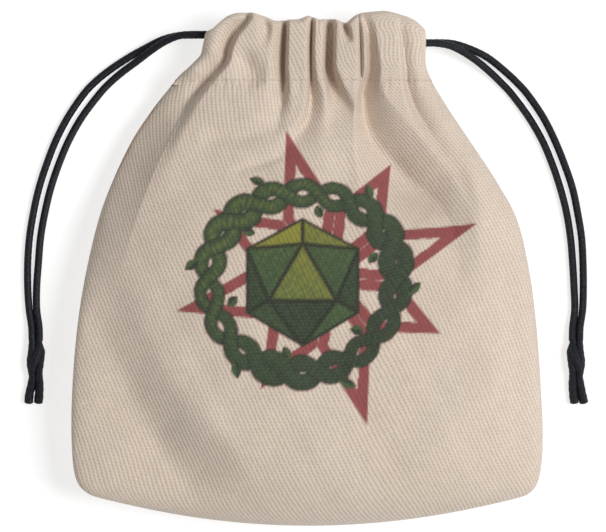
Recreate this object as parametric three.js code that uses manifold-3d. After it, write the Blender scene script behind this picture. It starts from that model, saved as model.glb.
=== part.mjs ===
// Drawstring dice bag, lying on its back with its mouth towards +Y.
// Millimetres, +Z up. The origin is the middle of the bag's footprint, on the table.
// Two cloth panels are joined round the sides and the bottom. Each ends at the casing stitching,
// where a folded casing carries the drawstrings. Each drawstring is a cord that runs through both
// casings, turns back at the far slit and leaves by its own slit, where its two ends are knotted.

import * as THREE from 'three';
import { mergeVertices } from 'three/addons/utils/BufferGeometryUtils.js';
import Module from 'manifold-3d';

const wasm = await Module();
wasm.setup();

// Driving dimensions.
const CLOTH = 1.0;
const GAP = 0.3;
const LENGTH = 142;
const WIDTH = 130.4;
const CROWN = 36.5;
const NECK_CROWN = 17.2;
const CASING_DEPTH = 19.7;
const CORD_DIAMETER = 2.0;
const KNOT_DIAMETER = 4.8;
const KNOT_LENGTH = 10.0;

// Places along Y that follow from them.
const MOUTH_Y = LENGTH / 2;
const STITCH_Y = MOUTH_Y - CASING_DEPTH - GAP;
const BOTTOM_Y = -LENGTH / 2;
const BOTTOM_SAG = 7.3;
const CORNER_Y = BOTTOM_Y + BOTTOM_SAG;

// Heights of the seam between the panels: along the body, at the neck and at the bottom.
const SEAM_Z = 11;
const NECK_SEAM_Z = 8.5;
const BOTTOM_SEAM_Z = 9;

// The casings: the mouth gap between them and the channel in each.
const MOUTH_LOW_Z = 6.0;
const MOUTH_HIGH_Z = 11.0;
const CASING_LOW_Z = 1.0;
const CASING_EDGE = 1.2;
const CHANNEL_HEIGHT = 3.0;
const CHANNEL_WALL = 0.9;
const CHANNEL_LOW_Y = 59.5;
const CHANNEL_HIGH_Y = 69.5;
const POCKET_X = 21.5;
const NECK_HALF_WIDTH = 31;

// The cords inside the channels.
const CORD_RADIUS = CORD_DIAMETER / 2;
const FRONT_RUN_Z = MOUTH_HIGH_Z + CHANNEL_WALL + CHANNEL_HEIGHT / 2;
const BACK_RUN_Z = MOUTH_LOW_Z - CHANNEL_WALL - CHANNEL_HEIGHT / 2;
const CORDS_Y = 64;
const LANE_OFFSET = 1.15;
const THREAD_RADIUS = 0.2;
const TURN_X = 22.5;
const TURN_RADIUS = (FRONT_RUN_Z - BACK_RUN_Z) / 2;
const TURN_Z = (FRONT_RUN_Z + BACK_RUN_Z) / 2;

// Colours.
const CLOTH_COLOUR = 0xdccdb5;
const THREAD_COLOUR = 0xcdbda2;
const CORD_COLOUR = 0x15191f;

// The side seam from the round bottom corner up to the stitching, as half-width and Y.
const SIDE = new THREE.CatmullRomCurve3([
  [55.6, CORNER_Y],
  [60.6, -61.9],
  [63.9, -57.4],
  [WIDTH / 2, -47],
  [64.7, -32],
  [63.4, -16],
  [61.0, -1],
  [57.9, 13],
  [53.4, 25],
  [47.2, 36],
  [40.6, 45],
  [35.6, STITCH_Y],
].map(([x, y]) => new THREE.Vector3(x, y, 0)), false, 'centripetal');

// Smooth step from 0 to 1 as t goes from 0 to 1.
function smooth(t) {
  return THREE.MathUtils.smoothstep(t, 0, 1);
}

// Superellipse across the bag: s from -1 to 1 gives the place across (-1 to 1) and the height (0 to 1).
function section(s, power) {
  const angle = s * Math.PI / 2;
  const across = Math.sign(s) * Math.abs(Math.sin(angle)) ** (2 / power);
  const height = Math.abs(Math.cos(angle)) ** (2 / power);
  return { across, height };
}

// A closed solid from a geometry: shared vertices are merged so that it is watertight.
function closed(geometry) {
  geometry.deleteAttribute('normal');
  geometry.deleteAttribute('uv');
  const merged = mergeVertices(geometry, 1e-4);
  merged.computeVertexNormals();
  return merged;
}

// A bent slab of cloth: a flat block whose points are moved to place(u, v, w), each from 0 to 1.
function slab(columns, rows, place) {
  const geometry = new THREE.BoxGeometry(1, 1, 1, columns, rows, 1);
  const position = geometry.attributes.position;
  for (let i = 0; i < position.count; i += 1) {
    const u = position.getX(i) + 0.5;
    const v = position.getY(i) + 0.5;
    const w = position.getZ(i) + 0.5;
    position.setXYZ(i, ...place(u, v, w));
  }
  return closed(geometry);
}

function toManifold(geometry) {
  const mesh = new wasm.Mesh({
    numProp: 3,
    vertProperties: new Float32Array(geometry.attributes.position.array),
    triVerts: new Uint32Array(geometry.index.array),
  });
  return new wasm.Manifold(mesh);
}

// The first geometry with the others cut out of it.
function cut(geometry, cutters) {
  let body = toManifold(geometry);
  for (const cutter of cutters) {
    body = body.subtract(toManifold(cutter));
  }
  const mesh = body.getMesh();
  const result = new THREE.BufferGeometry();
  result.setAttribute('position', new THREE.BufferAttribute(mesh.vertProperties, 3));
  result.setIndex(new THREE.BufferAttribute(mesh.triVerts, 1));
  result.computeVertexNormals();
  return result;
}

// A block between two corners.
function block(low, high) {
  const geometry = new THREE.BoxGeometry(high[0] - low[0], high[1] - low[1], high[2] - low[2]);
  geometry.translate((low[0] + high[0]) / 2, (low[1] + high[1]) / 2, (low[2] + high[2]) / 2);
  return closed(geometry);
}

// A round cord of eight sides along a smooth curve through the points.
function tube(points, steps, radius = CORD_RADIUS) {
  const path = new THREE.CatmullRomCurve3(points.map((p) => new THREE.Vector3(...p)), false, 'centripetal');
  const sides = 8;
  const ring = [];
  for (let i = 0; i < sides; i += 1) {
    const angle = (i + 0.5) * 2 * Math.PI / sides;
    ring.push(new THREE.Vector2(radius * Math.cos(angle), radius * Math.sin(angle)));
  }
  const shape = new THREE.Shape(ring);
  return closed(new THREE.ExtrudeGeometry(shape, { steps, bevelEnabled: false, extrudePath: path }));
}

// One row of a panel, from the bottom edge (v = 0) up to the stitching (v = 1).
function panelRow(v) {
  const side = SIDE.getPointAt(v ** 1.25);
  const sag = BOTTOM_SAG * (1 - v) ** 2.2;
  const middleY = side.y - sag;
  const rise = smooth((STITCH_Y - middleY) / 66);
  const roll = Math.min(1, (middleY - BOTTOM_Y) / 34);
  const edge = (1 - (1 - roll) ** 2.4) ** (1 / 2.1);
  const low = THREE.MathUtils.lerp(BOTTOM_SEAM_Z, SEAM_Z, smooth(roll));
  const seam = THREE.MathUtils.lerp(low, NECK_SEAM_Z, smooth((middleY - 5) / 46));
  const power = THREE.MathUtils.lerp(2.2, 3.4, smooth((middleY - 15) / 36));
  const crown = THREE.MathUtils.lerp(NECK_CROWN, CROWN, rise);
  return { halfWidth: side.x, sideY: side.y, sag, edge, seam, power, crown };
}

// The front panel is the dome; w = 1 is its outside. Its rim ends on the seam's level.
function frontPanelPoint(u, v, w) {
  const row = panelRow(v);
  const inset = (1 - w) * CLOTH;
  const { across, height } = section(2 * u - 1, row.power);
  const x = (row.halfWidth - inset) * across;
  const y = row.sideY - row.sag * (1 - across ** 2) + inset * (1 - v) ** 4;
  const lift = (row.crown - row.seam) * row.edge;
  const z = row.seam + GAP / 2 + Math.max(0, lift - inset * row.edge) * height;
  return [x, y, z];
}

// The back panel lies flat on the table and turns up to the seam; w = 0 is its outside.
function backPanelPoint(u, v, w) {
  const row = panelRow(v);
  const inset = w * CLOTH;
  const { across, height } = section(2 * u - 1, 2.9);
  const x = (row.halfWidth - inset) * across;
  const y = row.sideY - row.sag * (1 - across ** 2) + inset * (1 - v) ** 4;
  const rim = row.seam - GAP / 2;
  const floor = inset * Math.min(1, 4 * height) * Math.min(1, 3 * row.edge);
  const z = Math.max(floor, rim - 1.12 * rim * height * row.edge);
  return [x, y, z];
}

// Half-width of the gathered neck, from the stitching (v = 0) to the mouth (v = 1).
function neckHalfWidth(v) {
  return NECK_HALF_WIDTH + 3.6 * (1 - v) ** 3 - 2.4 * v ** 3;
}

function casingY(v) {
  return THREE.MathUtils.lerp(STITCH_Y + GAP, MOUTH_Y, v);
}

function frontCasingPoint(u, v, w) {
  const { across, height } = section(2 * u - 1, 4);
  const edge = MOUTH_HIGH_Z + CASING_EDGE;
  const outside = edge + (NECK_CROWN - 0.8 * v - edge) * height;
  return [neckHalfWidth(v) * across, casingY(v), THREE.MathUtils.lerp(MOUTH_HIGH_Z, outside, w)];
}

function backCasingPoint(u, v, w) {
  const { across, height } = section(2 * u - 1, 4);
  const edge = MOUTH_LOW_Z - CASING_EDGE;
  const outside = edge - (edge - CASING_LOW_Z) * height;
  return [neckHalfWidth(v) * across, casingY(v), THREE.MathUtils.lerp(outside, MOUTH_LOW_Z, w)];
}

// A casing: its slab with the cord channel cut through along X, open to the slit at both ends.
function casing(place, channelLowZ) {
  const past = NECK_HALF_WIDTH + 10;
  const channel = block(
    [-past, CHANNEL_LOW_Y, channelLowZ],
    [past, CHANNEL_HIGH_Y, channelLowZ + CHANNEL_HEIGHT],
  );
  const pockets = [-1, 1].map((side) => {
    const ends = [side * POCKET_X, side * past].sort((a, b) => a - b);
    return block(
      [ends[0], CHANNEL_LOW_Y, BACK_RUN_Z],
      [ends[1], CHANNEL_HIGH_Y, FRONT_RUN_Z],
    );
  });
  return cut(slab(20, 5, place), [channel, ...pockets]);
}

// The seam thread of a casing: one fine line that lies just off its outside, along the stitching.
function stitching(place, outside, offset) {
  const points = [];
  const count = 12;
  const reach = 0.62;
  for (let i = 0; i <= count; i += 1) {
    const u = 0.5 + reach * (i / count - 0.5);
    const [x, y, z] = place(u, 0.1, outside);
    points.push([x, y, z + offset]);
  }
  return tube(points, 16, THREAD_RADIUS);
}

// Inside the bag: the turned-in edge of both panels, a strip beside the side seam.
function sideAllowancePoint(side, u, v, w) {
  const width = 8;
  const thickness = 1.6;
  const row = panelRow(THREE.MathUtils.lerp(0.16, 0.96, v));
  const outer = row.halfWidth - CLOTH - 0.8;
  const across = side > 0 ? outer - width * (1 - u) : outer - width * u;
  return [side * across, row.sideY, row.seam + thickness * (w - 0.5)];
}

// The same along the bottom seam.
function bottomAllowancePoint(u, v, w) {
  const halfLength = 46;
  const width = 7;
  const thickness = 1.6;
  const x = halfLength * (2 * u - 1);
  const edgeY = BOTTOM_Y + BOTTOM_SAG * (x / 55.6) ** 2 + CLOTH + 1.2;
  return [x, edgeY + width * v, BOTTOM_SEAM_Z + 0.5 * v + thickness * (w - 0.5)];
}

// The part of a drawstring that the casings hold: in by the slit on its own side, along the front
// channel, round at the far slit and back along the back channel. side is -1 for the left cord.
function heldLoop(side) {
  const lane = CORDS_Y - side * LANE_OFFSET;
  const out = (x) => side * x;
  const points = [
    [out(30.4), lane, 9.5],
    [out(29.4), lane, 9.5],
    [out(26.6), lane, 10.4],
    [out(23), lane, 12.4],
    [out(18), lane, FRONT_RUN_Z],
    [out(6), lane, FRONT_RUN_Z],
    [out(-8), lane, FRONT_RUN_Z],
    [out(-TURN_X + 4), lane, FRONT_RUN_Z],
    [out(-TURN_X), lane, FRONT_RUN_Z],
  ];
  for (const angle of [-60, -30, 0, 30, 60]) {
    const turn = THREE.MathUtils.degToRad(angle);
    points.push([
      out(-TURN_X - TURN_RADIUS * Math.cos(turn)),
      lane,
      TURN_Z - TURN_RADIUS * Math.sin(turn),
    ]);
  }
  points.push(
    [out(-TURN_X), lane, BACK_RUN_Z],
    [out(-TURN_X + 4), lane, BACK_RUN_Z],
    [out(-8), lane, BACK_RUN_Z],
    [out(6), lane, BACK_RUN_Z],
    [out(18), lane, BACK_RUN_Z],
    [out(23), lane, 4.3],
    [out(26.6), lane, 6.0],
    [out(29.4), lane, 6.9],
    [out(30.4), lane, 6.9],
  );
  return tube(points, 52);
}

// Routes of the free ends, from the slit to the knot. They drop to the table and lie on it.
const FREE_ENDS = {
  left: {
    outer: [
      [-30.8, 65.15, 6.9], [-31.8, 65.15, 6.85], [-36.0, 65.1, 5.6], [-40.5, 64.1, 4.0], [-45.0, 62.0, 2.7],
      [-50.2, 59.2, 1.6], [-55.4, 55.8, 1.2], [-59.7, 52.3, 1.1], [-63.0, 48.7, 1.1],
      [-67.2, 42.5, 1.1], [-70.6, 35.9, 1.1], [-73.2, 29.2, 1.1], [-75.3, 22.6, 1.1],
      [-76.8, 15.9, 1.1], [-77.9, 9.0, 1.1], [-78.4, 2.0, 1.1], [-78.4, -5.0, 1.1],
      [-78.1, -11.0, 1.2], [-77.5, -16.0, 1.7], [-77.3, -19.7, 2.3],
    ],
    inner: [
      [-30.8, 65.15, 9.5], [-31.8, 65.15, 9.45], [-35.8, 64.9, 8.2], [-40.0, 63.3, 6.4], [-44.0, 60.8, 4.8],
      [-48.0, 57.9, 3.3], [-51.8, 55.2, 2.1], [-55.4, 52.2, 1.3], [-58.4, 49.0, 1.1],
      [-63.3, 42.5, 1.1], [-67.0, 35.9, 1.1], [-69.8, 29.2, 1.1], [-72.0, 22.6, 1.1],
      [-73.6, 15.9, 1.1], [-74.8, 9.0, 1.1], [-75.4, 2.0, 1.1], [-75.9, -5.0, 1.1],
      [-75.8, -11.0, 1.2], [-75.1, -16.0, 1.7], [-74.9, -19.7, 2.3],
    ],
    knot: [-76.1, -25.0],
    tails: [
      [[-77.2, -30.5, 2.0], [-77.8, -33.6, 1.3], [-78.2, -37.0, 1.2]],
      [[-74.9, -30.5, 2.0], [-75.0, -33.6, 1.3], [-75.4, -37.0, 1.2]],
    ],
  },
  right: {
    outer: [
      [30.8, 62.85, 6.9], [31.8, 62.85, 6.85], [36.0, 63.1, 5.7], [40.6, 62.9, 4.2], [45.4, 61.5, 2.7],
      [50.2, 59.2, 1.6], [54.6, 55.8, 1.2], [58.4, 52.3, 1.1], [61.6, 48.7, 1.1],
      [65.8, 42.5, 1.1], [69.1, 35.9, 1.1], [71.8, 29.2, 1.1], [74.0, 22.6, 1.1],
      [75.4, 15.9, 1.1], [76.5, 9.0, 1.1], [76.9, 2.0, 1.1], [77.0, -5.0, 1.1],
      [76.9, -11.0, 1.2], [76.3, -16.0, 1.7], [76.1, -19.7, 2.3],
    ],
    inner: [
      [30.8, 62.85, 9.5], [31.8, 62.85, 9.45], [35.8, 62.8, 8.3], [39.6, 62.2, 6.6], [43.4, 60.5, 4.9],
      [47.2, 58.1, 3.3], [50.8, 55.2, 2.1], [54.0, 52.2, 1.3], [57.0, 49.0, 1.1],
      [61.8, 42.5, 1.1], [65.6, 35.9, 1.1], [68.4, 29.2, 1.1], [70.6, 22.6, 1.1],
      [72.3, 15.9, 1.1], [73.4, 9.0, 1.1], [74.0, 2.0, 1.1], [74.4, -5.0, 1.1],
      [74.5, -11.0, 1.2], [73.9, -16.0, 1.7], [73.7, -19.7, 2.3],
    ],
    knot: [74.9, -25.0],
    tails: [
      [[76.0, -30.5, 2.0], [76.4, -33.6, 1.3], [77.2, -37.0, 1.2]],
      [[73.7, -30.5, 2.0], [74.0, -33.6, 1.3], [74.6, -37.0, 1.2]],
    ],
  },
};

// A knot pulled tight: a small barrel along Y, resting on the table.
function knotSolid([x, y]) {
  const radius = KNOT_DIAMETER / 2;
  const half = KNOT_LENGTH / 2;
  const profile = [
    [0, -half], [0.62, -half], [0.88, -0.8 * half], [1, -0.4 * half],
    [0.94, 0], [1, 0.4 * half], [0.88, 0.8 * half], [0.62, half], [0, half],
  ].map(([r, along]) => new THREE.Vector2(r * radius, along));
  const geometry = closed(new THREE.LatheGeometry(profile, 12));
  geometry.translate(x, y, radius + 0.05);
  return geometry;
}

// The thread bar that closes the lower end of a slit, between the two casings.
function barTack(side) {
  const half = { x: 0.6, y: 1.5 };
  const x = side * 32.2;
  const y = STITCH_Y + GAP + 2.2;
  return block(
    [x - half.x, y - half.y, MOUTH_LOW_Z + GAP],
    [x + half.x, y + half.y, MOUTH_HIGH_Z - GAP],
  );
}

const bag = new THREE.Group();

// Adds one named sub-part.
function add(name, geometry, colour, roughness) {
  const material = new THREE.MeshStandardMaterial({ color: colour, roughness, metalness: 0 });
  const mesh = new THREE.Mesh(geometry, material);
  mesh.name = name;
  bag.add(mesh);
}

const addCloth = (name, geometry) => add(name, geometry, CLOTH_COLOUR, 0.95);
const addThread = (name, geometry) => add(name, geometry, THREAD_COLOUR, 0.85);
const addCord = (name, geometry) => add(name, geometry, CORD_COLOUR, 0.45);

addCloth('front_panel', slab(22, 18, frontPanelPoint));
addCloth('back_panel', slab(22, 18, backPanelPoint));
addCloth('front_casing', casing(frontCasingPoint, MOUTH_HIGH_Z + CHANNEL_WALL));
addCloth('back_casing', casing(backCasingPoint, MOUTH_LOW_Z - CHANNEL_WALL - CHANNEL_HEIGHT));
addThread('front_casing_stitching', stitching(frontCasingPoint, 1, 0.5));
addThread('back_casing_stitching', stitching(backCasingPoint, 0, -0.5));
addCloth('bottom_seam_allowance', slab(14, 1, bottomAllowancePoint));

for (const [name, side] of [['left', -1], ['right', 1]]) {
  const ends = FREE_ENDS[name];
  addCloth(`${name}_seam_allowance`, slab(1, 14, (u, v, w) => sideAllowancePoint(side, u, v, w)));
  addThread(`${name}_slit_bar_tack`, barTack(side));
  addCord(`${name}_cord_held_loop`, heldLoop(side));
  addCord(`${name}_cord_outer_strand`, tube(ends.outer, 26));
  addCord(`${name}_cord_inner_strand`, tube(ends.inner, 26));
  addCord(`${name}_cord_knot`, knotSolid(ends.knot));
  ends.tails.forEach((tail, i) => addCord(`${name}_cord_tail_${i + 1}`, tube(tail, 4)));
}

export default bag;
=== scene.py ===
"""Drawstring dice bag of printed cotton twill, lying on its back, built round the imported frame.

Shapes are worked out in millimetres in the row frame and put into the meshes in metres.
The cloth is a surface of two parameters: a runs across the bag (-1 left seam, 0 middle, 1 right seam)
and rows run from the bottom edge to the mouth. Folds are added to it as strokes: lines on the cloth
with a depth and a width, as a tailor would chalk them.
"""

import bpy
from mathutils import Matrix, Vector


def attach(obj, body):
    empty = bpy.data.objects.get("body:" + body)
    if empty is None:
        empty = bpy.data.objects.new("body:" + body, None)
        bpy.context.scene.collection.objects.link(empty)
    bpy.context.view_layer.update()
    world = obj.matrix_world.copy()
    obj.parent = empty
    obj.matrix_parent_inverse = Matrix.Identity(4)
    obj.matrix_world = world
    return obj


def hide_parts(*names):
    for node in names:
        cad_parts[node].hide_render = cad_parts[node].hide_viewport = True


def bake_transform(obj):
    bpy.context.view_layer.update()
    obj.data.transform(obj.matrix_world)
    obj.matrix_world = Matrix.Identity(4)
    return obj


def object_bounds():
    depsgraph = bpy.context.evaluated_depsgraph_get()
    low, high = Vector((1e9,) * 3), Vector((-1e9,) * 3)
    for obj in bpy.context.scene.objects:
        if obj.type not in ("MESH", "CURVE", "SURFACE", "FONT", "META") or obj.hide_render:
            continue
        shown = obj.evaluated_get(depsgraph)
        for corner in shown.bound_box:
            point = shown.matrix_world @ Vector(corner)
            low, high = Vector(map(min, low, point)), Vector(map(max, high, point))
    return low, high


bl_info = {
    "name": "Drawstring Dice Bag",
    "version": (1, 0, 0),
    "blender": (4, 5, 0),
    "location": "View3D > Sidebar > Dice Bag",
    "description": "Builds a gathered cotton dice bag with two knotted drawstrings",
    "category": "Object",
}

import math

import bpy
import numpy as np
from bpy.props import FloatProperty, FloatVectorProperty, PointerProperty

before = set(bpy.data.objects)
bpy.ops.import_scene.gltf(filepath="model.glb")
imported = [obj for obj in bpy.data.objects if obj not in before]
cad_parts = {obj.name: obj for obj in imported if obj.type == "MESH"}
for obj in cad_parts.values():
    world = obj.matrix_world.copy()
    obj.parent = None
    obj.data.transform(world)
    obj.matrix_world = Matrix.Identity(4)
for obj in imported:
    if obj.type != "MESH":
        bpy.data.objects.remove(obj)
CAD_BOX = [list(corner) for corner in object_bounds()]

MM = 0.001
TAU = 2 * math.pi

# The cloth's main sizes, in millimetres, the same as the frame's.
STITCH_Y = 51.0
NEEDLE_Y = STITCH_Y + 1.1
MOUTH_Y = CAD_BOX[1][1] / MM
BOTTOM_Y = -MOUTH_Y
BOTTOM_SAG = 7.3
CROWN = 31.0
NECK_CROWN = 19.0
SEAM_Z = 11.0
NECK_SEAM_Z = 8.5
BOTTOM_SEAM_Z = 9.0
# The least height of the cloth above the table.
TABLE_GAP = 0.1
# How far the rolled edge at the mouth reaches past the casing's outside and lining.
MOUTH_ROLL = 1.7
# The casing's lining stops short of the slits: from the first distance on it closes in on the second.
LINING_REACH = (17.5, 21.8)

# Side seams from the bottom corner to the stitching, as distance from the middle and Y.
LEFT_SIDE = [
    (55.6, -63.7), (61.0, -61.7), (64.2, -57.2), (65.2, -47), (64.9, -32), (63.6, -16),
    (61.4, -1), (58.1, 13.5), (54.1, 24.5), (48.8, 35.8), (43.2, 44.3), (38.0, 51),
]
RIGHT_SIDE = [
    (56.2, -63.7), (61.2, -61.9), (63.9, -57.4), (64.8, -47), (64.2, -32), (63.1, -16),
    (61.2, -1), (57.9, 13.5), (52.1, 24.5), (44.7, 35.8), (39.0, 44.3), (34.9, 51),
]
# The casing's two ends, from the stitching to the mouth.
LEFT_NECK = [
    (38.0, 51), (35.2, 54), (32.0, 57), (29.8, 59.4), (29.1, 62), (28.3, 65.5), (27.2, 68.2), (25.4, 71),
]
RIGHT_NECK = [
    (34.9, 51), (33.4, 54), (32.6, 57), (32.5, 60), (32.6, 64), (32.2, 67), (31.4, 69), (29.6, 71),
]
# How far up the cloth reaches along the mouth, as X and Y.
MOUTH_LINE = [
    (-40, 66.6), (-28.6, 66.6), (-27.4, 68.1), (-26, 69.7), (-24.3, 70.6), (-21.7, 71.0), (-17.1, 71.0),
    (-15.2, 70.4), (-12.5, 69.8),
    (-9.7, 68.4), (-7.9, 68.9), (-3.3, 69.0), (-1.5, 69.3), (-0.3, 70.3), (1.3, 70.1), (2.4, 68.8),
    (4.5, 69.1), (6.3, 69.6), (8.2, 68.9), (9.8, 68.0), (10.9, 68.3), (12.7, 70.1), (15.1, 70.9),
    (18.8, 71.2), (22.4, 71.5), (25.6, 71.0), (29.6, 69.9), (31.2, 68.6), (32.4, 66.6), (40, 66.6),
]

# Folds of the front. Each is a line down the cloth of (x, y, depth, width to the west, to the east).
# A positive depth is a valley and a negative one a ridge. "sharp" falls steeply to the line.
FRONT_FOLDS = [
    # the long crease down the left shoulder, which ends as the crest of a flank
    ("sharp", [(-15.0, 72, 2.6, 3.0, 1.4), (-17.1, 68.5, 4.4, 4.0, 1.6), (-20.3, 65, 5.6, 5.0, 1.9),
               (-22.1, 61.3, 6.2, 5.2, 2.0), (-23.2, 57.4, 6.2, 5.6, 2.1), (-26.3, 54.2, 6.2, 6.4, 2.4),
               (-29.2, 50.8, 6.0, 7.0, 2.6), (-32.4, 46.6, 5.0, 7.0, 2.8), (-35.3, 41.2, 3.6, 7.0, 3.0),
               (-38.2, 35, 2.0, 7, 3), (-41.5, 28.4, 0.8, 7, 4), (-44.8, 20.2, 0, 8, 5)]),
    ("crest", [(-27.6, 52.6, 0, 5, 1), (-29.2, 50.4, 1.2, 6, 1), (-32.4, 46.6, 3.4, 7, 1),
               (-35.3, 41.2, 5.4, 8, 1), (-38.2, 35, 7.0, 9, 1), (-41.5, 28.4, 6.6, 10, 1),
               (-44.8, 20.2, 4.4, 11, 1), (-47.7, 12, 3.0, 12, 1), (-50.4, 3, 1.2, 12, 1),
               (-53.4, -6, 0, 12, 1)]),
    # left wall of the middle lobe
    ("sharp", [(-6.0, 71, 3.4, 3.4, 1.0), (-6.2, 66, 6.4, 4.2, 1.2), (-6.5, 60, 7.2, 4.6, 1.3),
               (-6.6, 55, 7.0, 5.0, 1.4), (-6.6, 51, 6.0, 5.4, 1.8), (-7.3, 46.5, 3.4, 6, 3),
               (-8.2, 41, 1.2, 6, 4), (-9, 37, 0, 6, 4)]),
    # the narrow crease right of the middle lobe, which opens below the stitching
    ("sharp", [(1.2, 71, 2.8, 1.3, 1.0), (1.0, 66, 4.6, 1.7, 1.2), (0.8, 59.5, 5.0, 1.8, 1.3),
               (0.8, 52, 5.0, 1.6, 2.4), (0.7, 46.5, 4.8, 1.8, 6.5), (-0.2, 41.5, 4.0, 2.4, 9),
               (-2.6, 37.2, 2.4, 3.4, 11), (-6, 33, 0.8, 4.6, 12), (-10, 29, 0, 5, 12)]),
    ("round", [(6.2, 71, 4.4, 1.5, 1.2), (6.2, 66, 7.6, 1.6, 1.2), (6.0, 60, 8.4, 1.6, 1.2),
               (6.0, 55, 8.0, 1.7, 1.4), (7.2, 50, 6.0, 2.2, 2.2), (8.6, 45, 3.8, 3.6, 3.6),
               (10.2, 39, 2.0, 6, 6), (12.4, 32, 1.0, 8, 7), (15, 24, 0, 9, 7)]),
    ("round", [(9.3, 71, 2.4, 0.9, 0.8), (10.1, 67.6, 4.6, 1.0, 0.9), (10.8, 65.2, 3.6, 1.0, 1.0),
               (11.4, 62.2, 0, 1.0, 1.0)]),
    ("sharp", [(13.6, 70, 0.4, 1, 1), (14.3, 66, 2.0, 1.3, 0.9), (14.6, 59, 2.6, 1.5, 0.9),
               (14.7, 52, 2.2, 1.5, 1.0), (15.2, 47, 0, 1.4, 1.0)]),
    ("slope", [(14.6, 70.5, 0, 1.6, 2.2), (16.4, 66.5, 2.4, 1.4, 2.2), (17.0, 60, 4.6, 1.2, 2.6),
               (17.0, 55.4, 5.8, 1.3, 3.2), (16.0, 51.6, 6.8, 1.5, 4.6), (15.2, 47.8, 7.2, 2.0, 6.6),
               (15.4, 43.4, 8.0, 2.8, 8.6), (16.8, 38.6, 9.0, 4.6, 9.8), (19.6, 33.4, 9.6, 8, 10.6),
               (23.4, 28.4, 9.8, 12, 11.0), (27.8, 23.8, 9.2, 15, 10.6), (32.6, 20.2, 7.4, 16, 9.2),
               (36.4, 16.4, 5.0, 16, 7.4), (39.0, 11.4, 3.2, 15, 6.6), (40.4, 4.6, 1.7, 14, 6.6),
               (41, -3, 0.7, 14, 7), (41, -11, 0, 14, 7)]),
    ("sharp", [(25.2, 69.6, 0, 1.4, 2.4), (25.8, 64.5, 1.8, 1.6, 3.4), (26.7, 57.2, 2.8, 1.8, 3.8),
               (27.2, 51.6, 3.4, 2.0, 4.2), (28.9, 45.6, 3.2, 2.6, 4.6), (31.6, 40.6, 2.4, 3.4, 4.6),
               (35.4, 35, 1.2, 4, 4), (39, 31, 0, 4, 4)]),
    # the smooth lobe between the first two folds has a dent in it
    ("soft", [(-18.6, 62, 0, 3, 3), (-17.4, 57.4, 2.0, 3.4, 3.4), (-15.2, 53.6, 1.8, 3.6, 3.6),
              (-13, 50.2, 0, 3, 3)]),
    ("soft", [(-12.4, 69.6, 1.2, 1.5, 1.6), (-11.6, 66, 2.0, 1.7, 1.8), (-11.9, 61, 0, 1.7, 2)]),
    # long soft hollows of the filled body
    ("soft", [(16, 38, 0, 5, 5), (13.4, 31, 1.4, 6, 6), (11.6, 24.6, 1.6, 7, 7), (12, 18, 0, 6, 6)]),
    ("soft", [(37, 37, 0, 3, 3), (43.6, 29, -1.1, 3, 3.4), (46.6, 21, -1.7, 3.2, 4), (47.6, 12, -1.4, 4, 5),
              (47.6, 1, 0, 4, 5)]),
    ("soft", [(50.6, 10, 0, 5, 5), (53.6, 1, 0.8, 5, 5), (56, -12, 1.3, 5, 5), (57.4, -26, 1.4, 5, 5),
              (58.2, -42, 1.0, 5, 5), (58, -54, 0, 5, 5)]),
    ("soft", [(-30, 35.6, 0, 4, 4), (-25, 36.6, 1.2, 3.6, 3.6), (-18, 36.4, 1.4, 3.6, 3.6),
              (-11, 38.4, 0.8, 3.4, 3.4), (-6, 40, 0, 3, 3)]),
    ("soft", [(-22, 26.8, 0, 1.4, 1.8), (-16, 28.0, 0.6, 1.6, 2.0), (-9, 30.4, 0.6, 1.6, 2.0),
              (-4.6, 32.2, 0, 1.4, 1.8)]),
    ("soft", [(34, -24, 0, 7, 7), (28, -38, 0.6, 8, 8), (18, -50, 0.7, 8, 8), (6, -58, 0, 8, 8)]),
]

# Where the filling ends and the slack corners begin, as lines down the cloth of
# (x, y, share of the height lost beyond the line, half width of the slope).
SLACK_CORNERS = {
    "left": [(-76, 9, 0.0, 12), (-64, 3, 0.5, 11), (-56.5, -7, 0.85, 10), (-51.5, -19, 1.0, 9.5),
             (-46.5, -28.5, 1.0, 9), (-41, -36.5, 1.0, 9), (-35, -44.5, 1.0, 9), (-28, -51.5, 0.85, 9.5),
             (-15, -60.5, 0.4, 10.5), (6, -71, 0.0, 12)],
    "right": [(76, -14, 0.0, 12), (64, -26, 0.3, 12), (54, -43, 0.45, 12), (40, -57, 0.3, 12),
              (20, -70, 0.0, 12)],
}
# How high the slack cloth lies above its seam.
SLACK_HEIGHT = 9.4
# The filling has run to the right, so the section is squarer there by this power.
BODY_FULLNESS = 0.5

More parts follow.
